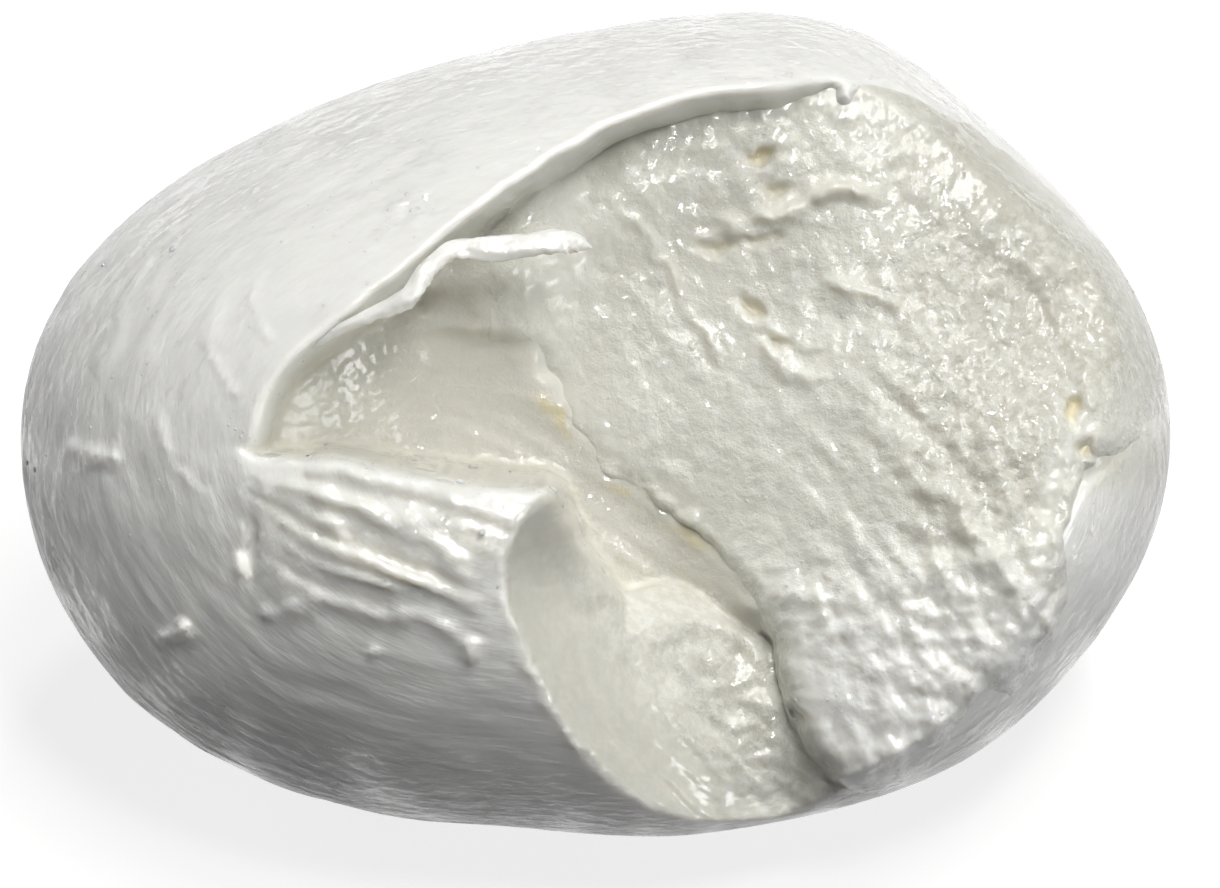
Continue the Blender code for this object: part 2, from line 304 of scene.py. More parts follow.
def near(path, reach):
    """The chart's window within reach of a path, and in it what to_path says."""
    low, high = path.min(axis=0) - reach, path.max(axis=0) + reach
    columns = slice(*np.searchsorted(chart_u, (low[0], high[0])))
    rows = slice(*np.searchsorted(chart_v, (low[1], high[1])))
    window = (rows, columns)
    return window, *to_path(WARPED_U[window], WARPED_V[window], path)


def add_ridges(chart, ridges):
    """Adds uneven ridges (path, rise, half-width) to the chart. They taper to nothing at both ends."""
    uneven = 1 + 0.8 * lumps(1.9, 42)
    for points, rise, half_width in ridges:
        window, gap, along, _ = near(curve(points), 3 * half_width + 1)
        taper = ease(0, 0.2, along) * ease(1, 0.8, along)
        chart[window] += rise * taper * uneven[window] * np.exp(-((gap / half_width) ** 2))


def add_pits(chart, pits):
    """Sinks uneven pits (u, v, half-length, half-width, turn in degrees, depth) into the chart."""
    for pu, pv, long, wide, turn, depth in pits:
        c, s = math.cos(math.radians(turn)), math.sin(math.radians(turn))
        x = ((WARPED_U - pu) * c + (WARPED_V - pv) * s) / long
        y = ((WARPED_V - pv) * c - (WARPED_U - pu) * s) / wide
        chart -= depth * np.exp(-((x**2 + y**2) ** 1.5))


# ---------------------------------------------------------------- the tear's outlines and sheets

# The torn skin's upper rim, from the corner of the tear on the left, over the notch, down the right side
RIM = curve([
    (-25.2, -1.0), (-24.6, 1.4), (-24.0, 3.0), (-21.8, 5.8), (-18.1, 8.7), (-13.9, 12.0), (-11.2, 14.5),
    (-7.4, 17.4), (-2.8, 20.5), (0.4, 22.4), (3.4, 23.6), (8.0, 25.0), (13.3, 25.7), (17.8, 26.4),
    (18.9, 25.3), (20.6, 26.0), (23.8, 25.7), (28.5, 23.4), (33.4, 20.2), (37.8, 16.2), (41.0, 11.6),
    (42.4, 6.6), (41.6, 2.4), (40.0, -0.8), (38.2, -2.8),
])
# The lower half's torn edge, from the same corner: the lip, then the back of the ledge
LIP = curve([
    (-25.2, -1.9), (-22.0, -2.0), (-18.9, -1.9), (-14.2, -3.0), (-8.4, -3.9), (-3.8, -4.5), (-2.6, -5.9),
    (-1.2, -8.7), (1.0, -11.2), (1.9, -12.3),
])
LEDGE = curve([(1.9, -12.3), (3.4, -11.8), (5.6, -11.3), (8.0, -11.5), (10.0, -12.6), (11.8, -14.6)])
# The slab's upper left edge, where the lower half's skin was torn through
CREASE = curve([
    (-4.6, -4.6), (-6.3, -6.2), (-7.0, -9.8), (-6.4, -14.2), (-4.0, -19.8), (-0.5, -24.4), (3.4, -28.1),
    (4.6, -29.6),
])
# The flesh's near edge, first over the slab and then, round the tongue, over the skin on the right
FLESH_EDGE = curve([
    (-5.8, 3.6), (-3.7, 1.5), (-1.4, -1.0), (0.3, -3.5), (3.0, -4.8), (5.3, -6.7), (8.7, -9.7),
    (11.4, -12.9), (13.5, -16.0), (14.1, -19.8), (15.6, -22.9), (17.6, -25.5), (19.5, -27.5),
    (21.8, -28.0), (23.9, -27.2), (25.2, -25.5), (27.2, -24.0), (28.1, -21.7), (29.8, -20.0),
    (31.4, -20.6), (33.1, -19.9), (34.4, -17.1), (36.0, -12.9), (35.6, -8.3), (36.5, -4.4), (37.9, -2.3),
])

UPPER_SKIN_GAP = np.vstack([RIM, [
    (36.8, -3.8), (34, -9), (33.5, -13), (31, -17), (27, -20.5), (23.5, -24.5), (21.2, -26.6),
    (20.6, -FAR), (-FAR, -FAR), (-FAR, -6), (-27.5, -3)]])
LOWER_HALF = np.vstack([LIP, LEDGE[1:], [(20, -17), (22, -FAR), (-FAR, -FAR), (-FAR, 8), (-29, 2)]])
FLESH_OUTLINE = np.vstack([FLESH_EDGE, [(FAR, -2.3), (FAR, FAR), (-4, FAR), (-5, 22), (-7, 12)]])

# Heights of the torn sheets, sounded at a few points each
hollow_height = sheet_through([
    (-23.5, 0.2, 18), (-18.9, -0.6, 14.5), (-12.7, 9.4, 13), (-11.2, 0, 11), (-5.8, 14, 11),
    (-4.3, 7.1, 10), (1.8, 19.3, 12), (4.9, -10.6, 9.0),
])
flesh_height = sheet_through([
    (-2.8, 2.5, 11), (0.3, 17, 10.5), (8, 14, 10.5), (14, 22.4, 10.5), (25.6, 17.8, 10.5),
    (38.7, 10, 8.5), (8, 0, 11.8), (15.6, 2.5, 13.5), (25.6, 6, 14.2), (34.8, 2.5, 14), (3, -4.8, 10.8),
    (9, -9.7, 12.2), (14.1, -10, 14.6), (24.9, -5.2, 17.2), (34.1, -9, 19), (17.2, -22.1, 16.8),
    (21.8, -16, 17.8), (29.5, -19, 18.8),
])
slab_height = sheet_through([
    (-4.4, -5.2, 31), (-7, -9.8, 31), (-6.2, -14.4, 29.8), (-3.9, -19.8, 27.4), (3.4, -28.1, 18),
    (-1.2, -8.7, 22.5), (0.3, -16.7, 20), (6.4, -16, 13.5), (8, -27.5, 13.5), (15.6, -22.1, 11.5),
    (-13, -14, 42), (-13, -4, 45),
], reach=5.0)
ledge_height = sheet_through([(5, -14.9, 14.9), (10, -14.9, 11.9), (5, -11.4, 10.8), (10, -11.4, 7.8)])

# The pulled-out layers below the lip, and the ragged hem where they end on the smooth skin
HEM = curve([
    (-6.8, -11.0), (-7.2, -15.8), (-8.8, -16.2), (-10.6, -14.2), (-13.2, -14.0), (-16.4, -15.9),
    (-18.0, -14.6), (-21.4, -13.2), (-24.0, -14.0), (-26.0, -11.2), (-27.4, -7.0), (-26.6, -2.6),
])
LAYERS = np.vstack([LIP[:-6], HEM])

# Which way the curd was pulled: guide lines on each sheet
LIP_GRAIN = [
    curve([(-26, -3), (-18.9, -5.2), (-12.8, -7.9), (-7.4, -11.5)]),
    curve([(-25, -2), (-16, -3.2), (-8, -4.6), (-4, -6)]),
    curve([(-30, 2), (-27, -6), (-22, -12), (-12, -15)]),
]
HOLLOW_GRAIN = [
    curve([(-24, 0), (-14, 1), (-4, -3), (6, -10)]),
    curve([(-24, 1), (-16, 6), (-8, 12), (0, 20)]),
]
SLAB_GRAIN = [
    CREASE,
    curve([(2.5, -13.5), (3.5, -19), (7, -25), (12, -29)]),
    curve([(11, -15), (12.5, -20), (16, -26)]),
]
FLESH_GRAIN = [
    curve([(5, 21), (7.5, 15), (15.6, 7.5), (25.6, -3.5), (31, -14)]),
    curve([(-5, 3), (2, -4), (10, -11), (15, -20), (20, -27)]),
    curve([(18, 24), (28, 18), (36, 8), (38, -2), (35, -12)]),
    curve([(12, 2), (18, -8), (22, -18), (23, -27)]),
]

# Folds and threads of pulled curd: points on its line, rise, half-width
BODY_RIDGES = (
    # below the lip
    ([(-24.5, -2.9), (-18.9, -5.2), (-12.8, -7.9), (-7.6, -11.3)], 0.55, 0.7),
    ([(-23.0, -5.2), (-18.2, -8.4), (-14.8, -10.6), (-10.6, -11.8)], 0.4, 0.5),
    ([(-15.6, -12.9), (-11.8, -14.4), (-8.8, -16.0)], 0.5, 0.6),
    ([(-12.9, -6.8), (-10.5, -5.6), (-6.6, -6.8)], 0.4, 0.45),
    ([(-11.4, -7.2), (-9.2, -7.0), (-6.8, -8.8)], 0.4, 0.4),
    ([(-24.0, -2.4), (-18.0, -2.9), (-12.0, -4.2), (-6.0, -5.2)], 0.4, 0.7),
    ([(-20.0, -12.2), (-22.6, -13.2), (-25.4, -14.0)], 0.5, 0.7),
    # on the skin left of the tear
    ([(-40.4, -0.8), (-38.2, -2.2), (-35.2, -1.6)], 0.7, 0.7),
    ([(-33.4, 2.4), (-31.8, -1.4), (-31.0, -3.2), (-27.6, -6.7)], 0.3, 0.4),
    ([(-28.2, 9.4), (-28.6, 5.6), (-26.0, 0.6)], 0.2, 0.3),
    ([(-25.8, 12.4), (-25.2, 9.0), (-24.2, 6.4)], 0.2, 0.25),
    # along the slab's torn edge
    ([(-6.0, -6.4), (-6.6, -9.8), (-6.0, -14.2), (-3.6, -19.8), (-0.1, -24.4), (3.8, -28.1)], 0.35, 0.35),
    # the right half of the rim, and the shoulder beside it
    ([(20.0, 26.4), (24.0, 25.4), (28.4, 23.0), (33.2, 19.8), (38.6, 14.6), (42.0, 8.0)], 0.5, 0.6),
    ([(18.8, 29.6), (21.0, 28.2), (24.0, 26.8)], 0.4, 0.8),
    # flecks of curd stuck to the skin
    ([(-33.2, -15.8), (-32.0, -15.0), (-30.6, -15.6), (-29.8, -16.2)], 0.8, 0.5),
    ([(-31.8, -14.2), (-31.0, -15.4)], 0.7, 0.5),
    ([(-27.2, -10.6), (-25.8, -10.2)], 0.8, 0.7),
    ([(-17.4, -16.4), (-16.0, -16.6)], 0.5, 0.4),
    ([(-8.9, -15.0), (-8.8, -17.0)], 0.9, 0.55),
)
BODY_PITS = (
    (-25.7, -8.6, 2.6, 0.45, 86, 0.9),  # a fissure at the lip's left end
    (-13.0, 9.9, 1.4, 0.6, 35, 1.2),
)
FLESH_RIDGES = (
    ([(8.0, 15.4), (11.5, 16.3), (14.9, 16.7), (17.9, 18.4), (22.5, 17.2)], 0.9, 0.7),
    ([(7.0, 14.6), (10.6, 15.0), (14.6, 14.9)], 0.4, 0.5),
    ([(17.2, 11.2), (20.5, 10.6), (23.6, 9.5)], 0.8, 0.6),
    ([(11.8, 6.6), (14.6, 4.8), (17.6, 3.4)], 0.5, 0.6),
    ([(12.4, 8.4), (15.0, 6.6), (17.0, 6.2)], 0.4, 0.5),
    ([(0.4, 17.6), (3.4, 15.4), (7.2, 9.4), (11.0, 1.8)], 0.25, 0.35),
    ([(20.0, 1.0), (25.0, -4.0), (29.8, -9.6), (32.4, -14.4)], 0.5, 1.0),
    ([(34.0, -18.0), (34.9, -12.0), (35.2, -7.0), (36.4, -3.4), (37.8, -2.2)], 0.9, 0.8),
    ([(13.4, -11.4), (16.0, -12.6), (19.0, -16.0)], 0.4, 0.7),
    ([(-2.0, -1.2), (1.4, -3.6), (5.6, -5.6), (9.2, -8.6)], 0.5, 0.6),
    ([(36.8, -1.6), (38.0, -2.6)], 0.9, 0.5),
)
FLESH_PITS = (
    (-3.2, 1.2, 2.4, 0.7, -48, 1.8),
    (1.8, -4.3, 1.2, 0.45, -14, 1.6),
    (7.2, -8.0, 2.4, 0.5, -36, 1.4),
    (14.9, -21.4, 1.4, 0.5, -50, 1.6),
    (12.4, 21.0, 1.3, 0.6, 0, 1.3),
    (13.6, 18.4, 1.0, 0.5, 12, 0.9),
    (9.0, 14.0, 1.4, 0.5, 6, 0.8),
    (12.6, 14.4, 1.4, 0.5, 10, 0.7),
    (11.8, 9.3, 1.2, 0.6, -45, 1.0),
    (13.8, 6.8, 1.0, 0.5, -30, 0.8),
    (36.2, 1.4, 1.2, 0.6, 80, 1.4),
    (36.8, -1.2, 0.8, 0.6, 0, 1.4),
    (37.4, -4.6, 1.2, 0.45, 75, 1.0),
    (34.4, -11.8, 1.2, 0.6, 70, 0.8),
)


def lay_upper_skin(t):
    """The upper skin: a thin raised edge along the rim, soft on the right, then the fall into the hollow."""
    t.to_gap = -chart_of(lambda u, v: past_edge(u, v, UPPER_SKIN_GAP)) + 0.5 * t.ragged
    along_rim = chart_of(lambda u, v: to_path(u, v, RIM)[1])
    gentle = ease(0.36, 0.52, along_rim)
    t.right_end = ease(35.5, 38.5, U) * ease(-6, -2, V) * ease(17, 12, V)
    t.soft_rim = ease(0.56, 0.64, along_rim) * ease(-4, 0, V)
    lifted = 0.45 * np.exp(-(((t.to_gap + 0.5) / 0.55) ** 2)) * ease(0, 0.03, along_rim) * (1 - 0.4 * gentle)
    lifted *= 1 - t.right_end
    rim_fall = EDGE_FALL * (1 - 0.5 * gentle) * (1 - 0.6 * t.soft_rim)
    t.upper_skin = t.whole + lifted - fall(t.to_gap, rim_fall, EDGE_ROUND * (1 + gentle))


def lay_lower_half(t):
    """The lower half: skin that sags towards the lip, pulled-out layers below it, the slab and the ledge."""
    t.to_lip, along_lip = (chart_of(lambda u, v, k=k: to_path(u, v, LIP)[k]) for k in (0, 1))
    sag = ease(0, 0.7, along_lip) * np.exp(-((t.to_lip / 7.0) ** 2))
    lip_comb = heading_along(LIP_GRAIN)
    in_layers = -chart_of(lambda u, v: past_edge(u, v, LAYERS)) + 2.2 * t.ragged
    t.layered = ease(-0.5, 3.5, in_layers)
    pulled = 0.22 * combed(1.1, 12.0, lip_comb, 3) + 0.09 * combed(0.5, 6.0, lip_comb, 4)
    pulled += 0.14 * lumps(2.2, 52)
    lower_skin = t.whole - sag + t.layered * (0.5 + pulled)
    slab_comb = heading_along(SLAB_GRAIN)
    to_crease = chart_of(lambda u, v: to_path(u, v, CREASE)[0])
    ripples = (0.35 + np.exp(-to_crease / 3.0)) * 0.13 * combed(0.7, 7.0, slab_comb, 5)
    t.crumbly = ease(3.0, 9.0, to_crease)
    slab = slab_height(U, V) + ripples + 0.4 * lumps(4.0, 6) * t.crumbly
    slab += t.crumbly * (0.3 * lumps(1.8, 53) + 0.2 * lumps(0.9, 7) + 0.08 * lumps(0.4, 8))
    t.past_lower = chart_of(lambda u, v: past_edge(u, v, LOWER_HALF)) + 0.6 * t.ragged
    ledge = ledge_height(U, V) + 6.0 * np.maximum(2.4 - U + 0.5 * t.ragged, 0)
    t.lower_half = soft_min(soft_min(lower_skin, slab, 0.25), ledge, 0.3)
    t.lower_half -= fall(t.past_lower, 1.7 * EDGE_FALL, 0.3)
    t.on_slab = ease(-0.1, 0.5, lower_skin - slab)


def lay_flesh(t):
    """The flesh: it runs out into the hollow, rises to the rim on the right, and lies over the skin below."""
    t.past_flesh = chart_of(lambda u, v: past_edge(u, v, FLESH_OUTLINE)) + 0.6 * t.ragged
    t.runs_out = ease(0.5, 8.0, V) * ease(4.0, -4.0, U)
    over_skin = ease(-1.0, -4.5, V) * ease(12.0, 17.0, U)
    t.smooth = np.exp(-((U - 27) / 8) ** 2 - ((V - 18) / 6) ** 2)
    t.rough = (0.4 + 0.6 * ease(14, 24, U) + 0.35 * ease(-6, -16, V)) * (1 - 0.75 * t.smooth)
    t.rough *= 1 + 0.7 * lumps(8.0, 56)
    flakes = combed(1.7, 5.0, heading_along(FLESH_GRAIN), 11)
    crumb = 0.40 * lumps(2.4, 17) + 0.32 * lumps(1.3, 14) + 0.22 * lumps(0.8, 18)
    curd = 0.45 * lumps(6.0, 12) + 0.14 * flakes + crumb
    within = np.maximum(t.to_gap, 0)
    near_rim = t.whole - 0.3 - 0.25 * within - 0.08 * within**2 - 9.0 * ease(31, 15, U) - 4.0 * ease(1, -7, V)
    near_rim += 0.6 * t.right_end
    t.flesh_sheet = soft_max(flesh_height(U, V), near_rim, 2.2)
    cap = t.whole - 0.9 + 0.5 * t.soft_rim + 0.6 * t.right_end + 1.8 * over_skin
    at_rim = t.soft_rim * ease(-1.0, 0.0, t.flesh_sheet - cap)
    t.flesh = soft_min(t.flesh_sheet, cap, 0.3) + t.rough * curd * (0.62 - 0.3 * at_rim)
    t.dents = np.zeros(U.shape)
    add_ridges(t.flesh, FLESH_RIDGES)
    add_pits(t.dents, FLESH_PITS)
    t.flesh += t.dents
    t.flesh -= fall(t.past_flesh, EDGE_FALL * (1 - 0.92 * t.runs_out), 0.7 + 3.0 * t.runs_out)
    t.flesh += (0.5 + 0.5 * t.rough) * 0.05 * lumps(0.45, 15)


def lay_hollow(t):
    """The hollow, with faint fibres. It climbs to just below the flesh's near edge and dives under it."""
    ripple = 0.05 * combed(0.8, 8.0, heading_along(HOLLOW_GRAIN), 9) + 0.2 * lumps(5.0, 10)
    foot = t.flesh_sheet - 1.3 - 0.7 * np.maximum(t.past_flesh, 0) - 3.0 * ease(-13, -16, V)
    t.hollow = soft_min(soft_max(hollow_height(U, V), foot, 1.0) + ripple, t.whole - 1.0, 1.0)
    t.hollow -= 1.5 * np.maximum(-t.past_flesh - 1.5, 0)


def join_sheets(t):
    """The body's surface, and the pad's: the flesh lies over the body, whose surface passes well under it."""
    blend = 0.3 + 1.5 * t.runs_out
    t.pad = soft_max(t.flesh, t.hollow - 4.0 * (1 - t.runs_out), blend) - 3.0 * ease(-8.0, -9.5, U)
    under_pad = t.flesh - (1 - t.runs_out) * (2.5 + fall(t.past_flesh + 1.2, 6.0))
    t.inner = soft_max(t.hollow, under_pad, blend) - 0.06 * t.runs_out * ease(-8.2, -6.5, U)
    t.inner = soft_max(t.inner, t.lower_half, 0.15)
    t.body = soft_max(t.inner, t.upper_skin, 0.1)
    t.wet_patch = np.exp(-((U + 15) / 4.5) ** 2 - ((V - 16.5) / 2.6) ** 2) * ease(0.2, 1.2, -t.to_gap)
    t.body += t.wet_patch * (0.16 * lumps(1.3, 54) + 0.10 * lumps(0.7, 55))
    add_ridges(t.body, BODY_RIDGES)
    add_pits(t.body, BODY_PITS)


def spread_beads(t):
    """Where whey beads: in patches on the flesh, and on the skin along the rim, the lip and one wet patch."""
    patchy = ease(-0.25, 0.6, lumps(3.4, 50) + 0.5 * lumps(1.6, 51))
    t.beads_on_flesh = (0.10 + 0.9 * patchy) * (1 - 0.8 * t.smooth) * (0.35 + 0.65 * ease(4, 22, U))
    along_edges = np.exp(-(((t.to_gap + 0.9) / 0.7) ** 2)) + np.exp(-((t.to_lip / 1.3) ** 2))
    beads = 0.4 * t.wet_patch + 0.7 * along_edges * patchy + 0.35 * t.layered * patchy
    left_skin = ease(-20, -27, U) * ease(-41, -38, U) * ease(-12, -2, V)
    t.beads_on_skin = np.minimum(beads, 1) + 0.35 * left_skin * ease(0.3, 0.8, patchy)


def make_charts():
    """The body's and the flesh's charts: offset from the uncut ball, and what the looks need."""
    t = SimpleNamespace(whole=skin(U, V), ragged=0.28 * lumps(2.6, 1) + 0.14 * lumps(1.1, 2))
    for lay in (lay_upper_skin, lay_lower_half, lay_flesh, lay_hollow, join_sheets, spread_beads):
        lay(t)

    torn = np.maximum(t.on_slab, ease(-0.4, 0.4, t.hollow - t.lower_half))
    torn *= ease(0.1, 0.7, t.inner - t.upper_skin)
    in_tear = ease(0.2, 0.8, t.to_gap) * ease(0.0, 0.5, t.past_lower)
    torn = np.maximum.reduce((torn, t.right_end, in_tear))
    # Painted shade: the pulled-out layers below the lip take the creamier, darker tone for the shade they lie
    # in.
    painted_layer_shade = 0.4 * t.layered * ease(0.0, 0.5, t.lower_half - t.upper_skin) * (1 - torn)
    on_face = t.on_slab * (0.15 + 0.7 * t.crumbly) * ease(0.0, -0.5, t.past_lower)
    # Masks for painted shade: the torn curd just past the flesh's near edge, and the flesh's right side, are
    # greyed.
    near_edge = 0.6 * ease(-3.0, 0.5, t.past_flesh)
    far_right = ease(32, 36, U)
    right = ease(14, 30, U) * ease(-12 + 10 * far_right, -2 + 8 * far_right, V)
    # Painted light: the flesh's lower right tongue is made whiter, as if more light fell on it.
    painted_tongue_light = ease(-6, -18, V) * ease(8, 14, U)

    # Light scatters under the surface only away from where the two pieces cross
    under = blur((t.pad > t.body) * 1.0, 0.6)
    slope = np.hypot(*np.gradient(t.body - t.whole)) / CHART_STEP
    # The creamy tone holds torn curd's real creaminess, plus painted shade on the pulled-out layers and,
    # where lowered, painted light on the flesh's lower tongue.
    pieces = {
        "body": {"offset": t.body - t.whole, "cream": torn + painted_layer_shade, "grainy": torn * (0.15 + on_face),
                 "glassy": near_edge * torn, "shows": ease(0.4, 0.0, t.pad - t.body),
                 "milky": ease(0.35, 0.02, under), "beads": t.beads_on_skin},
        "flesh": {"offset": t.pad - t.whole, "cream": 1 - painted_tongue_light,
                  "grainy": 0.2 + 0.8 * ease(0.1, 0.9, t.rough),
                  # Painted shade on the flesh: grey on its upper part, its right side and near its edge.
                  "glassy": np.maximum.reduce((0.45 * ease(2, 14, V) * ease(-6, 8, U), right, near_edge)),
                  "shows": ease(-0.2, 0.0, t.pad - t.body), "milky": ease(0.65, 0.98, under),
                  "beads": t.beads_on_flesh},
    }
    for piece in pieces.values():
        damp = ease(-0.2, 0.9, lumps(5.0, 16) + 1.2 * t.layered * (1 - piece["cream"]))
        piece["wet"] = np.maximum(damp, t.wet_patch)
        # Pits in the flesh get an ochre colour, partly the tint of pooled whey and partly painted shade.
        piece["deep"] = ease(0.3, 1.6, -t.dents) * piece["cream"]
        piece["beads"] = piece["beads"] * piece["shows"]
        piece["even"] = blur(ease(1.6, 0.8, slope), 0.4)
    return pieces


charts = make_charts()

# ---------------------------------------------------------------- meshes


def disc_grid(cells):
    """A square grid pressed round into a unit disc, as an array (cells + 1, cells + 1, 2)."""
    line = np.linspace(-1, 1, cells + 1)
    x, y = np.meshgrid(line, line)
    return np.dstack([x * np.sqrt(1 - y**2 / 2), y * np.sqrt(1 - x**2 / 2)])


def knots(grid):
    """Which points of a flat grid belong to a cell that is folded over or squeezed flat."""
    along, up = np.diff(grid, axis=1), np.diff(grid, axis=0)
    corners = [a[..., 0] * b[..., 1] - a[..., 1] * b[..., 0]
               for a in (along[:-1], along[1:]) for b in (up[:, :-1], up[:, 1:])]
    folded = np.min(corners, axis=0) < 0.03 * np.mean(corners)
    found = np.zeros(grid.shape[:2], bool)
    for rows in (slice(0, -1), slice(1, None)):
        for columns in (slice(0, -1), slice(1, None)):
            found[rows, columns] |= folded
    return found


def even_out(grid, place, worth, rounds):
    """Slides a grid's inner points towards where edges are long and worth is high. The border stays.

    A point in a knot moves to the middle of its neighbours instead, and the last rounds move only those.
    """
    core = (slice(1, -1), slice(1, -1))
    every, fore, aft = slice(None), slice(0, -1), slice(1, None)
    sides = (((fore, every), (aft, every)), ((every, fore), (every, aft)))
    for step in range(rounds + UNKNOT_ROUNDS):
        xyz = place(grid)
        value = worth(xyz)
        knotted = knots(grid)
        pull = np.zeros(grid.shape)
        total = np.zeros(grid.shape[:2] + (1,))
        for axis, (near_side, far_side) in enumerate(sides):
            span = np.linalg.norm(np.diff(xyz, axis=axis), axis=2) * (value[near_side] + value[far_side])
            span = np.where(knotted[near_side] | knotted[far_side], span.mean(), span)
            for here, there in ((near_side, far_side), (far_side, near_side)):
                pull[here] += span[..., None] * grid[there]
                total[here] += span[..., None]
        grid = grid.copy()
        moves = 1.0 if step < rounds else knotted[core][..., None]
        grid[core] += 0.6 * moves * (pull[core] / total[core] - grid[core])
    return grid


def grid_normals(xyz):
    """A unit normal for each point of a grid of points, towards +w."""
    normal = np.cross(np.gradient(xyz, axis=1), np.gradient(xyz, axis=0))
    return normal / (np.linalg.norm(normal, axis=2)[..., None] + 1e-12)


def border(cells):
    """Indices of a grid's outermost points, once round."""
    side = cells + 1
    bottom = [i for i in range(cells)]
    right = [cells + side * i for i in range(cells)]
    top = [side * cells + cells - i for i in range(cells)]
    left = [side * (cells - i) for i in range(cells)]
    return bottom + right + top + left


def closed_faces(cells):
    """Faces of a fine grid sewn to a half as fine one behind it, along their borders."""
    side, half = cells + 1, cells // 2
    front_corners = [row * side + column for row in range(cells) for column in range(cells)]
    faces = [(a, a + 1, a + side + 1, a + side) for a in front_corners]
    fine = border(cells)
    start = side * side
    shared = {start + i: fine[2 * step] for step, i in enumerate(border(half))}
    back_corners = [start + row * (half + 1) + column for row in range(half) for column in range(half)]
    for a in back_corners:
        quad = (a + half + 1, a + half + 2, a + 1, a)
        faces.append(tuple(shared.get(i, i) for i in quad))
    for step, middle in enumerate(fine[1::2]):
        faces.append((fine[(2 * step + 2) % len(fine)], middle, fine[2 * step]))
    return faces


def seat_in_box():
    """Where the ball's centre lies in the row frame, from the box and the uncut ball's shape."""
    phi, r = np.meshgrid(np.linspace(0, 2 * math.pi, 361), np.linspace(0, 1, 91))
    out = np.sin(r * math.pi / 2) * swell(phi)
    u, v = HALF_U * out * np.cos(phi), HALF_V * out * np.sin(phi)
    back = np.sin(LEAN) * v - np.cos(LEAN) * skin(u, v, -1)
    return Vector(((box_low.x + box_high.x) / 2, box_high.y - back.max() * MM,
                   box_low.z + (BALL_HEIGHT / 2 - FLAT_CUT) * MM))


BALL_CENTRE = seat_in_box()
RIGHT = Vector((1, 0, 0))
UP_FACE = Vector((0, math.sin(LEAN), math.cos(LEAN)))
OUT_FACE = Vector((0, -math.cos(LEAN), math.sin(LEAN)))


def to_row(points):
    """Points of the tear's frame, in millimetres, as points of the row frame in metres."""
    axes = np.array([RIGHT, UP_FACE, OUT_FACE])
    world = points @ axes * MM + np.array(BALL_CENTRE)
    world[:, 2] = np.maximum(world[:, 2], box_low.z)
    return world


def add_object(name, data):
    """A new object in the scene, with the given mesh, lamp or camera."""
    made = bpy.data.objects.new(name, data)
    bpy.context.scene.collection.objects.link(made)
    return made


def add_piece(name, points, faces, material, attributes=()):
    """A smooth mesh object from points of the tear's frame, with its attributes."""
    mesh = bpy.data.meshes.new(name)
    mesh.from_pydata(to_row(points).tolist(), [], faces)
    for attribute, values in attributes:
        kind, part = ("FLOAT", "value") if values.ndim == 1 else ("FLOAT_VECTOR", "vector")
        stored = mesh.attributes.new(attribute, kind, "POINT")
        stored.data.foreach_set(part, values.astype(np.float32).ravel())
    tidy = bmesh.new()
    tidy.from_mesh(mesh)
    bmesh.ops.delete(tidy, geom=[x for x in tidy.verts if not x.link_faces], context="VERTS")
    bmesh.ops.triangulate(tidy, faces=tidy.faces, quad_method="SHORT_EDGE")
    tidy.to_mesh(mesh)
    tidy.free()
    mesh.shade_smooth()
    mesh.materials.append(material)
    return add_object(name, mesh)


SKIN_RADIUS = 36.0  # the ball's rough radius, which turns angles into lengths
STREAK_SIZE = 1.2  # how large the streaks on the flesh and the curl are


def skin_relief(theta, phi):
    """How far the skin stands out: fine lines drawn round the ball, and soft dimples."""
    around = np.column_stack([np.cos(phi), np.sin(phi)])
    arc = theta * SKIN_RADIUS
    ways = np.column_stack([around * np.sin(theta)[:, None], np.cos(theta)]) * 3.0
    drift = 2.2 * noise_3d(ways, 20)
    lines = noise_3d(np.column_stack([around * 5.5, (arc + drift) / 1.5]), 21)
    fine = noise_3d(np.column_stack([around * 9.0, (arc + drift) / 0.7]), 22)
    broad = noise_3d(np.column_stack([around * 1.4, (arc + drift) / 4.5]), 23)
    dimples = noise_3d(ways * 2.4, 24)
    left = 0.5 + 0.5 * np.tanh(-3 * (np.cos(phi) * np.sin(theta) + 0.35))
    return 0.07 * dimples + 0.05 * broad + (0.03 + 0.17 * left) * lines + (0.03 + 0.03 * left) * fine


def drawn_out(theta, phi):
    """Coordinates for the skin's fine streaks, 0.6 mm across and 2.4 mm long, which run round the tear."""
    ring = SKIN_RADIUS * np.sin(theta) / 2.4
    return np.column_stack([SKIN_RADIUS * theta / 0.6, ring * np.cos(phi), ring * np.sin(phi)])


# What the body and the flesh take from their charts
SPREAD = ("cream", "grainy", "deep", "wet", "glassy", "even", "beads", "milky")


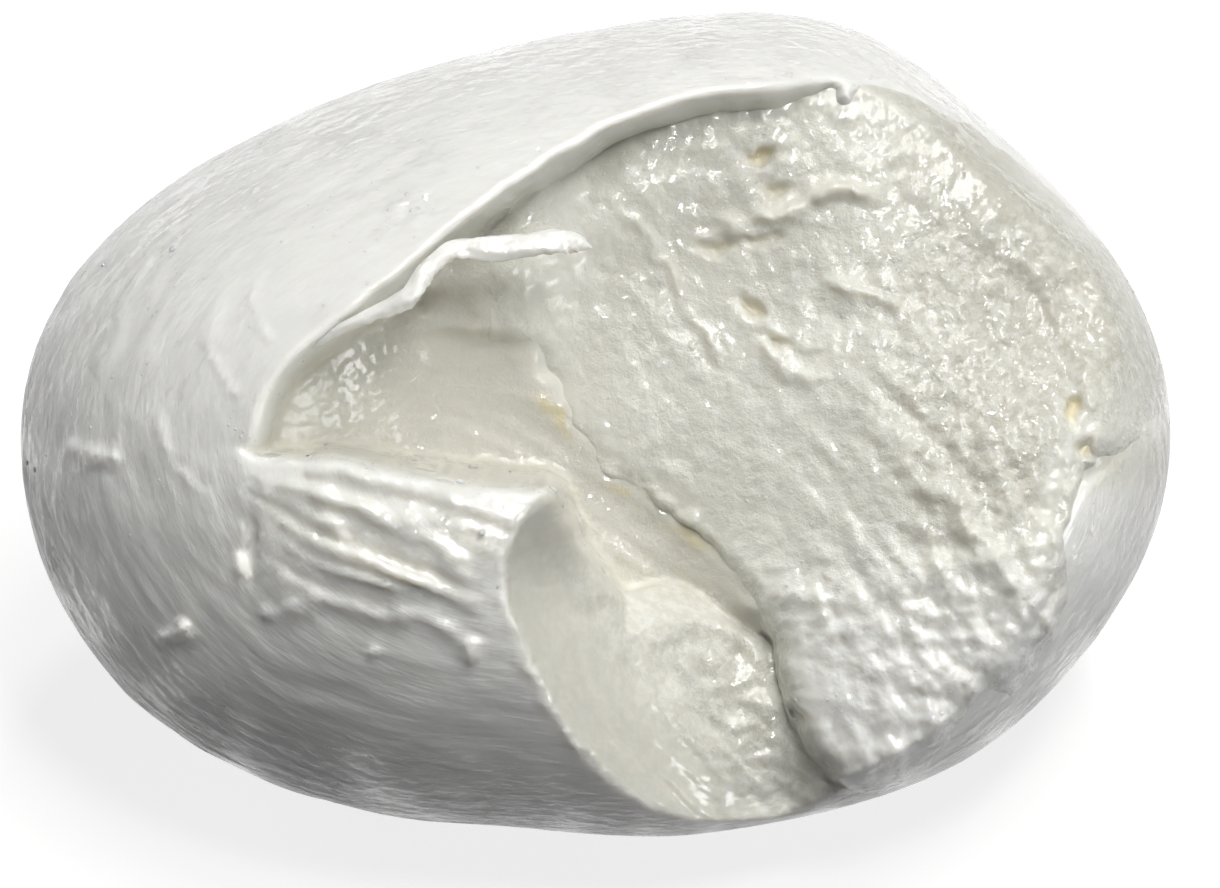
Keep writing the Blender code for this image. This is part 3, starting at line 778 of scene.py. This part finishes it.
def make_body(material):
    """The whole ball with its rim, lip, layers, slab and hollow. The flesh is a piece of its own on top."""
    body = charts["body"]
    on_skin = 1 - body["cream"]

    def over_ball(grid):
        phi = np.arctan2(grid[..., 1], grid[..., 0])
        out = np.sin(np.hypot(grid[..., 0], grid[..., 1]) * math.pi / 2) * swell(phi)
        return HALF_U * out * np.cos(phi), HALF_V * out * np.sin(phi)

    def place(grid):
        u, v = over_ball(grid)
        r = np.hypot(grid[..., 0], grid[..., 1])
        return np.dstack([u, v, skin(u, v) + read(body["offset"], u, v) * ease(1.0, 0.8, r)])

    def worth(xyz):
        return 0.1 + 1.2 * read(body["shows"], xyz[..., 0], xyz[..., 1])

    def covered(grid, xyz, front):
        """A side's points with the skin's relief on it, and its streaks. Front is False on the far side."""
        theta = np.hypot(grid[..., 0], grid[..., 1]) * math.pi / 2
        theta = theta if front else math.pi - theta
        phi = np.arctan2(grid[..., 1], grid[..., 0])
        relief = skin_relief(theta.ravel(), phi.ravel()).reshape(theta.shape)
        if front:
            relief = relief * read(on_skin * body["even"], xyz[..., 0], xyz[..., 1])
        else:
            relief = -relief
        return xyz + grid_normals(xyz) * relief[..., None], drawn_out(theta.ravel(), phi.ravel())

    grid = even_out(disc_grid(BODY_CELLS), place, worth, EVEN_ROUNDS)
    torn_side, streaks = covered(grid, place(grid), True)
    grid = disc_grid(BODY_CELLS // 2)
    u, v = over_ball(grid)
    far_side, far_streaks = covered(grid, np.dstack([u, v, skin(u, v, -1)]), False)
    streaks = np.vstack([streaks, far_streaks])

    points = np.vstack([torn_side.reshape(-1, 3), far_side.reshape(-1, 3)])
    u, v = torn_side.reshape(-1, 3)[:, :2].T
    attributes = [("streaks", streaks)]
    for name in SPREAD:
        behind = np.full(far_side.shape[0] ** 2, name in ("even", "milky"), float)
        attributes.append((name, np.concatenate([read(body[name], u, v), behind])))
    return add_piece("torn_ball", points, closed_faces(BODY_CELLS), material, attributes)


# The flesh pad's grid fills an oval, and stays inside the ball's outline
PAD_MIDDLE = (15.5, -0.8)
PAD_HALF_U = 29.0
PAD_HALF_V = 30.0
PAD_INSIDE = 0.997  # how far out it may reach, as a share of the ball's outline


def make_flesh(material):
    """The flesh: a thick torn pad that lies over the body and, with its tongue, over the skin."""
    flesh = charts["flesh"]
    disc = disc_grid(FLESH_CELLS)
    r, phi = np.hypot(disc[..., 0], disc[..., 1]), np.arctan2(disc[..., 1], disc[..., 0])
    rays = np.linspace(-math.pi, math.pi, 361)
    out = np.linspace(0, BALL_LENGTH, 1600)[:, None]
    u, v = (PAD_MIDDLE[0] + out * np.cos(rays)) / HALF_U, (PAD_MIDDLE[1] + out * np.sin(rays)) / HALF_V
    to_outline = (out * (np.hypot(u, v) < PAD_INSIDE * swell(np.arctan2(v, u)))).max(axis=0)
    to_oval = 1 / np.hypot(np.cos(rays) / PAD_HALF_U, np.sin(rays) / PAD_HALF_V)
    out = r * np.interp(phi, rays, np.minimum(to_oval, to_outline))
    pad = np.dstack([PAD_MIDDLE[0] + out * np.cos(phi), PAD_MIDDLE[1] + out * np.sin(phi)])

    def top(grid):
        u, v = grid[..., 0], grid[..., 1]
        return np.dstack([u, v, skin(u, v) + read(flesh["offset"], u, v)])

    def worth(xyz):
        return 0.1 + read(flesh["shows"], xyz[..., 0], xyz[..., 1])

    upper = top(even_out(pad, top, worth, EVEN_ROUNDS))
    u, v = pad[::2, ::2, 0], pad[::2, ::2, 1]
    depth = 2.5 * ease(1.0, 0.9, r[::2, ::2])
    under = np.dstack([u, v, skin(u, v) + read(blur(flesh["offset"], 1.0), u, v) - depth])

    points = np.vstack([upper.reshape(-1, 3), under.reshape(-1, 3)])
    u, v = points[:, :2].T
    attributes = [("streaks", points / STREAK_SIZE)] + [(name, read(flesh[name], u, v)) for name in SPREAD]
    return add_piece("torn_flesh", points, closed_faces(FLESH_CELLS), material, attributes)


# The curl's middle line, with how deep it lies under the ball's outer surface and half its height
CURL = curve([
    (-21.8, 6.5, 1.6, 0.50), (-17.1, 8.5, 1.2, 0.55), (-14.0, 10.0, 0.9, 0.80), (-12.6, 11.9, 0.9, 0.72),
    (-10.7, 13.5, 1.6, 0.85), (-6.8, 13.7, 2.6, 0.95), (-3.0, 14.2, 3.4, 1.05), (-1.4, 14.1, 3.7, 0.75),
    (-0.4, 13.8, 3.9, 0.15),
], steps=12)
CURL_SIDES = 24
CURL_THICKNESS = 1.0
CURL_TILT = math.radians(28)  # how far its upper edge leans away


def make_curl(material):
    """The curl of skin that stands in front of the hollow: a ribbon swept along its middle line."""
    middle = np.column_stack([CURL[:, :2], skin(CURL[:, 0], CURL[:, 1]) - CURL[:, 2]])
    ahead = np.gradient(middle, axis=0)
    ahead /= np.linalg.norm(ahead, axis=1)[:, None]
    lean = np.array([0.0, math.sin(CURL_TILT), math.cos(CURL_TILT)])
    front = lean - ahead * (ahead @ lean)[:, None]
    front /= np.linalg.norm(front, axis=1)[:, None]
    rise = np.cross(front, ahead)
    turns = 2 * math.pi * np.arange(CURL_SIDES) / CURL_SIDES
    rings = []
    for step, (centre, out, side, half) in enumerate(zip(middle, front, rise, CURL[:, 3])):
        uneven = 1 + 0.30 * noise(np.cos(turns) * 2 + step * 0.22, np.sin(turns) * 2, 1.6, 30)
        ragged = 0.16 * noise(step * 0.45, np.sin(turns) * 0 + 5.0, 1.0, 31) * (np.sin(turns) < -0.5)
        thick = min(CURL_THICKNESS, 1.4 * half) / 2
        ring = centre + (half * np.sin(turns) * uneven + ragged)[:, None] * side
        rings.append(ring + (thick * np.cos(turns) * uneven)[:, None] * out)
    points = np.vstack([middle[:1] - 0.3 * ahead[0]] + rings + [middle[-1:] + 0.3 * ahead[-1]])
    last = len(points) - 1
    faces = []
    for step in range(CURL_SIDES):
        beside = (step + 1) % CURL_SIDES
        faces.append((0, 1 + beside, 1 + step))
        faces.append((last, last - CURL_SIDES + step, last - CURL_SIDES + beside))
        for ring in range(len(middle) - 1):
            a = 1 + ring * CURL_SIDES
            b = a + CURL_SIDES
            faces.append((a + step, a + beside, b + beside, b + step))
    looks = {"cream": 0.15, "deep": 0.0, "wet": 0.8, "milky": 0.6, "even": 1.0, "grainy": 0.0}
    attributes = [(name, np.full(len(points), value)) for name, value in looks.items()]
    attributes.append(("streaks", points / STREAK_SIZE))
    return add_piece("skin_curl", points, faces, material, attributes)


# ---------------------------------------------------------------- materials


def linear(hex_colour):
    """An sRGB hex colour as linear red, green, blue and alpha."""
    parts = [int(hex_colour[i : i + 2], 16) / 255 for i in (1, 3, 5)]
    return tuple(c / 12.92 if c <= 0.04045 else ((c + 0.055) / 1.055) ** 2.4 for c in parts) + (1.0,)


def add_node(tree, kind, settings=(), **inputs):
    """A node of the given kind, with settings and with values or links for its inputs."""
    node = tree.nodes.new(kind)
    for name, value in dict(settings).items():
        setattr(node, name, value)
    for name, value in inputs.items():
        socket = node.inputs[int(name[1:])] if name[0] == "i" and name[1:].isdigit() else \
            node.inputs[name.replace("_", " ")]
        if isinstance(value, bpy.types.NodeSocket):
            tree.links.new(value, socket)
        else:
            socket.default_value = value
    return node


def fresh_curd():
    """Fresh mozzarella, stretched and torn by hand: milk-white, faintly translucent and wet with whey."""
    material = bpy.data.materials.new("fresh_curd")
    material.use_nodes = True
    material.node_tree.nodes.clear()
    add = partial(add_node, material.node_tree)
    place = add("ShaderNodeTexCoord").outputs["Object"]
    cream, grainy, deep, wet, milky, glassy, even = (
        add("ShaderNodeAttribute", {"attribute_name": name}).outputs["Fac"]
        for name in ("cream", "grainy", "deep", "wet", "milky", "glassy", "even"))

    # Grains of curd 0.9 mm across and finer in the tear, and on the skin the streaks it was drawn out into
    grains = add("ShaderNodeTexNoise", Vector=place, Scale=1100.0, Detail=3.0, Roughness=0.7).outputs["Fac"]
    drawn = add("ShaderNodeAttribute", {"attribute_name": "streaks"}).outputs["Vector"]
    lines = add("ShaderNodeTexNoise", Vector=drawn, Scale=1.0, Detail=2.0, Roughness=0.6).outputs["Fac"]
    grain = add("ShaderNodeMix", {"data_type": "FLOAT"}, Factor=cream, i2=lines, i3=grains).outputs[0]
    depth = add("ShaderNodeMath", {"operation": "MULTIPLY_ADD"}, i0=grainy, i1=0.00026, i2=0.00012)
    bump = add("ShaderNodeBump", Strength=even, Distance=depth.outputs[0], Height=grain).outputs["Normal"]

    # White, with clouds of looser curd 8 mm across. Torn curd is creamier, and the creamy tone also carries
    # painted shade on the pulled-out layers below the lip and, where it is lowered, painted light on the
    # flesh's lower tongue.
    # Painted shade greys the flesh's upper part, its right side and the torn curd near its edge. Dense white
    # grains stand among its clearer ones, and pits are ochre, partly the tint of pooled whey and partly
    # painted shade.
    clouds = add("ShaderNodeTexNoise", Vector=place, Scale=120.0, Detail=1.0).outputs["Fac"]
    dense = add("ShaderNodeMapRange", Value=grains, From_Min=0.42, From_Max=0.62, To_Min=0.0, To_Max=0.4)
    speckled = add("ShaderNodeMath", {"operation": "MULTIPLY"}, i0=dense.outputs["Result"], i1=grainy)
    colour = linear("#f4f4f1")
    # The creamy tone, the grey and the pits' ochre mix painted shade and painted light into the colour.
    for where, turns_to in ((clouds, "#ecece8"), (cream, "#e6e5dc"), (glassy, "#c8c6ba"),
                            (speckled.outputs[0], "#f5f5f0"), (deep, "#d9d0b2")):
        colour = add("ShaderNodeMix", {"data_type": "RGBA"}, Factor=where, i6=colour,
                     i7=linear(turns_to)).outputs[2]

    # Whey lies on it unevenly as a thin film with beads in it: gloss where it is wet, satin where it drained
    film = add("ShaderNodeTexNoise", Vector=place, Scale=260.0, Detail=1.0).outputs["Fac"]
    damp = add("ShaderNodeMath", {"operation": "MULTIPLY_ADD"}, i0=wet, i1=-0.16, i2=0.34).outputs[0]
    rough = add("ShaderNodeMath", {"operation": "MULTIPLY_ADD"}, i0=film, i1=0.16, i2=damp).outputs[0]
    beads = add("ShaderNodeTexNoise", Vector=place, Scale=700.0, Detail=1.0, Roughness=0.5).outputs["Fac"]
    beaded = add("ShaderNodeBump", Strength=even, Distance=0.0005, Height=beads).outputs["Normal"]
    coat = add("ShaderNodeMath", {"operation": "MULTIPLY_ADD"}, i0=wet, i1=0.5, i2=0.5).outputs[0]

    shader = add("ShaderNodeBsdfPrincipled", {"subsurface_method": "BURLEY"}, Base_Color=colour,
                 Roughness=rough, IOR=1.38, Normal=bump, Subsurface_Weight=milky,
                 Subsurface_Radius=(1.0, 0.90, 0.72), Subsurface_Scale=0.001, Coat_Weight=coat,
                 Coat_Roughness=0.04, Coat_IOR=1.5, Coat_Normal=beaded)
    add("ShaderNodeOutputMaterial", Surface=shader.outputs["BSDF"])
    return material


def studio_paper():
    """Matt white paper, lit from below like a light table, so that the ball's shadow on it is faint."""
    material = bpy.data.materials.new("studio_paper")
    material.use_nodes = True
    shader = material.node_tree.nodes["Principled BSDF"]
    shader.inputs["Base Color"].default_value = linear("#9c9c9c")
    shader.inputs["Roughness"].default_value = 0.9
    shader.inputs["Specular IOR Level"].default_value = 0.1
    shader.inputs["Emission Color"].default_value = linear("#ffffff")
    shader.inputs["Emission Strength"].default_value = 0.80
    return material


def whey():
    """Drops of clear whey. They show the white curd under them and gleam."""
    material = bpy.data.materials.new("whey")
    material.use_nodes = True
    shader = material.node_tree.nodes["Principled BSDF"]
    shader.inputs["Base Color"].default_value = linear("#ecebe4")
    shader.inputs["Roughness"].default_value = 0.04
    shader.inputs["IOR"].default_value = 1.36
    shader.inputs["Coat Weight"].default_value = 1.0
    shader.inputs["Coat Roughness"].default_value = 0.03
    return material


# ---------------------------------------------------------------- scattered things


def scatter_group(name):
    """Geometry Nodes that scatter small rounded lumps on a piece, where its "beads" attribute is high."""
    tree = bpy.data.node_groups.new(name, "GeometryNodeTree")
    kinds = (("Geometry", "Geometry"), ("Laid On", "Object"), ("Least Gap", "Float"), ("Density", "Float"),
             ("Smallest Radius", "Float"), ("Largest Radius", "Float"), ("Flatness", "Float"),
             ("Unevenness", "Float"), ("Seed", "Int"), ("Material", "Material"))
    for label, kind in kinds:
        tree.interface.new_socket(name=label, in_out="INPUT", socket_type="NodeSocket" + kind)
    tree.interface.new_socket(name="Geometry", in_out="OUTPUT", socket_type="NodeSocketGeometry")
    add = partial(add_node, tree)
    given = add("NodeGroupInput").outputs
    seed = given["Seed"]

    host = add("GeometryNodeObjectInfo", {"transform_space": "RELATIVE"}, Object=given["Laid On"])
    where = add("GeometryNodeInputNamedAttribute", {"data_type": "FLOAT"}, Name="beads").outputs["Attribute"]
    spots = add("GeometryNodeDistributePointsOnFaces", {"distribute_method": "POISSON"},
                Mesh=host.outputs["Geometry"], Distance_Min=given["Least Gap"],
                Density_Max=given["Density"], Density_Factor=where, Seed=seed)
    # Small ones are commoner than large ones
    chance = add("FunctionNodeRandomValue", {"data_type": "FLOAT"}, i2=0.0, i3=1.0, Seed=seed).outputs[1]
    skewed = add("ShaderNodeMath", {"operation": "POWER"}, i0=chance, i1=2.5).outputs[0]
    radius = add("ShaderNodeMapRange", Value=skewed, To_Min=given["Smallest Radius"],
                 To_Max=given["Largest Radius"]).outputs["Result"]
    shape = add("FunctionNodeRandomValue", {"data_type": "FLOAT_VECTOR"}, i0=(0.7, 0.7, 1.0),
                i1=(1.5, 1.3, 1.0), Seed=seed).outputs[0]
    flat = add("ShaderNodeCombineXYZ", X=1.0, Y=1.0, Z=given["Flatness"]).outputs[0]
    shaped = add("ShaderNodeVectorMath", {"operation": "MULTIPLY"}, i0=shape, i1=flat).outputs[0]
    scale = add("ShaderNodeVectorMath", {"operation": "SCALE"}, i0=shaped, Scale=radius).outputs[0]
    lump = add("GeometryNodeMeshIcoSphere", Radius=1.0, Subdivisions=2).outputs["Mesh"]
    laid = add("GeometryNodeInstanceOnPoints", Points=spots.outputs["Points"], Instance=lump,
               Rotation=spots.outputs["Rotation"], Scale=scale).outputs["Instances"]
    real = add("GeometryNodeRealizeInstances", Geometry=laid).outputs["Geometry"]
    dents = add("ShaderNodeTexNoise", {"noise_dimensions": "3D"}, Scale=2200.0, Detail=1.0).outputs["Color"]
    centred = add("ShaderNodeVectorMath", {"operation": "SUBTRACT"}, i0=dents, i1=(0.5, 0.5, 0.5)).outputs[0]
    moved = add("ShaderNodeVectorMath", {"operation": "SCALE"}, i0=centred, Scale=given["Unevenness"])
    uneven = add("GeometryNodeSetPosition", Geometry=real, Offset=moved.outputs[0]).outputs["Geometry"]
    smooth = add("GeometryNodeSetShadeSmooth", Geometry=uneven).outputs[0]
    dressed = add("GeometryNodeSetMaterial", Geometry=smooth, Material=given["Material"]).outputs["Geometry"]
    add("NodeGroupOutput", Geometry=dressed)
    return tree


def scatter(name, group, **settings):
    """A plain mesh piece made by the scatter group with the given inputs."""
    piece = add_object(name, bpy.data.meshes.new(name))
    modifier = piece.modifiers.new("scatter", "NODES")
    modifier.node_group = group
    sockets = {x.name: x.identifier for x in group.interface.items_tree if x.in_out == "INPUT"}
    for label, value in settings.items():
        modifier[sockets[label.replace("_", " ")]] = value
    bpy.context.view_layer.update()
    made = bpy.data.meshes.new_from_object(piece.evaluated_get(bpy.context.evaluated_depsgraph_get()))
    piece.modifiers.clear()
    piece.data = made
    return piece


def scatter_all(body, flesh, curd):
    """Whey beads on the flesh and on the skin, and a few crumbs of curd on the skin."""
    group = scatter_group("lumps_on_a_piece")
    drop = {"Flatness": 0.2, "Unevenness": 0.00005, "Material": whey()}
    crumb = {"Flatness": 0.8, "Unevenness": 0.00035, "Material": curd, "Smallest_Radius": 0.15 * MM,
             "Largest_Radius": 0.4 * MM, "Least_Gap": 1.2 * MM}
    return (
        scatter("whey_on_flesh", group, Laid_On=flesh, Least_Gap=0.35 * MM, Density=1.5e6, Seed=61,
                Smallest_Radius=0.05 * MM, Largest_Radius=0.17 * MM, **drop),
        scatter("whey_on_skin", group, Laid_On=body, Least_Gap=0.35 * MM, Density=2.0e6, Seed=62,
                Smallest_Radius=0.05 * MM, Largest_Radius=0.16 * MM, **drop),
        scatter("crumbs_on_skin", group, Laid_On=body, Density=0.06e6, Seed=64, **crumb),
    )


# ---------------------------------------------------------------- stage

CAMERA_DISTANCE = 900 * MM
PICTURE_WIDTH = 93.5 * MM  # what the camera takes in at the ball's centre
PICTURE_SHIFT = (1.07 * MM, -0.92 * MM)  # the picture's centre from the ball's, along RIGHT and UP_FACE
SENSOR_WIDTH = 36
LAMP_DISTANCE = 0.9
# Each lamp's direction along RIGHT, UP_FACE and OUT_FACE, its size, its power and its colour
LAMPS = {
    "key_lamp": ((0.22, 0.66, 0.72), 0.40, 4.6, "#fffefb"),
    "front_glint": ((0.18, 0.36, 0.91), 0.14, 2.2, "#ffffff"),
    "top_glint": ((0.10, 0.96, 0.22), 0.14, 2.0, "#ffffff"),
    "side_fill": ((0.92, -0.22, 0.30), 0.30, 2.4, "#ffffff"),
    "left_fill": ((-0.80, 0.50, 0.22), 0.50, 0.9, "#ffffff"),
}
FLOOR_HALF = 3  # metres from its middle to its edges
FLOOR_GAP = 0.0002  # how far below the ball the floor lies


def set_camera():
    camera = add_object("camera", bpy.data.cameras.new("camera"))
    camera.data.sensor_width = SENSOR_WIDTH
    camera.data.lens = SENSOR_WIDTH * CAMERA_DISTANCE / PICTURE_WIDTH
    camera.data.clip_start, camera.data.clip_end = 0.05, 10
    aim = BALL_CENTRE + RIGHT * PICTURE_SHIFT[0] + UP_FACE * PICTURE_SHIFT[1]
    camera.matrix_world = Matrix.Translation(aim + OUT_FACE * CAMERA_DISTANCE) @ Matrix(
        (RIGHT, UP_FACE, OUT_FACE)).transposed().to_4x4()
    bpy.context.scene.camera = camera


def light_studio():
    """Square soft lamps turned towards the ball, and a world that is bright above it and dim below it."""
    for name, ((right, up, out), size, power, colour) in LAMPS.items():
        lamp = bpy.data.lights.new(name, "AREA")
        lamp.shape, lamp.size, lamp.energy, lamp.color = "SQUARE", size, power, linear(colour)[:3]
        way = (RIGHT * right + UP_FACE * up + OUT_FACE * out).normalized()
        add_object(name, lamp).matrix_world = Matrix.Translation(
            BALL_CENTRE + way * LAMP_DISTANCE) @ way.to_track_quat("Z", "Y").to_matrix().to_4x4()
    world = bpy.data.worlds.new("studio")
    bpy.context.scene.world = world
    world.use_nodes = True
    tree = world.node_tree
    add = partial(add_node, tree)
    way = add("ShaderNodeSeparateXYZ", Vector=add("ShaderNodeTexCoord").outputs["Generated"])
    rise = add("ShaderNodeMapRange", Value=way.outputs["Z"], From_Min=-0.5, From_Max=0.7,
               To_Min=0.11, To_Max=0.54)
    tree.links.new(rise.outputs["Result"], tree.nodes["Background"].inputs["Strength"])


def lay_floor():
    mesh = bpy.data.meshes.new("floor")
    corners = [(FLOOR_HALF * x, FLOOR_HALF * y, 0) for x, y in ((-1, -1), (1, -1), (1, 1), (-1, 1))]
    mesh.from_pydata(corners, [], [(0, 1, 2, 3)])
    mesh.materials.append(studio_paper())
    floor = add_object("floor", mesh)
    floor.location.z = box_low.z - FLOOR_GAP
    floor.visible_diffuse = False


def main():
    set_camera()
    light_studio()
    lay_floor()
    curd = fresh_curd()
    body = make_body(curd)
    flesh = make_flesh(curd)
    curl = make_curl(curd)
    for piece in (body, flesh, curl, *scatter_all(body, flesh, curd)):
        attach(piece, "root")
    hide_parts("mozzarella_ball")
    bpy.context.scene.view_settings.view_transform = "Standard"


main()
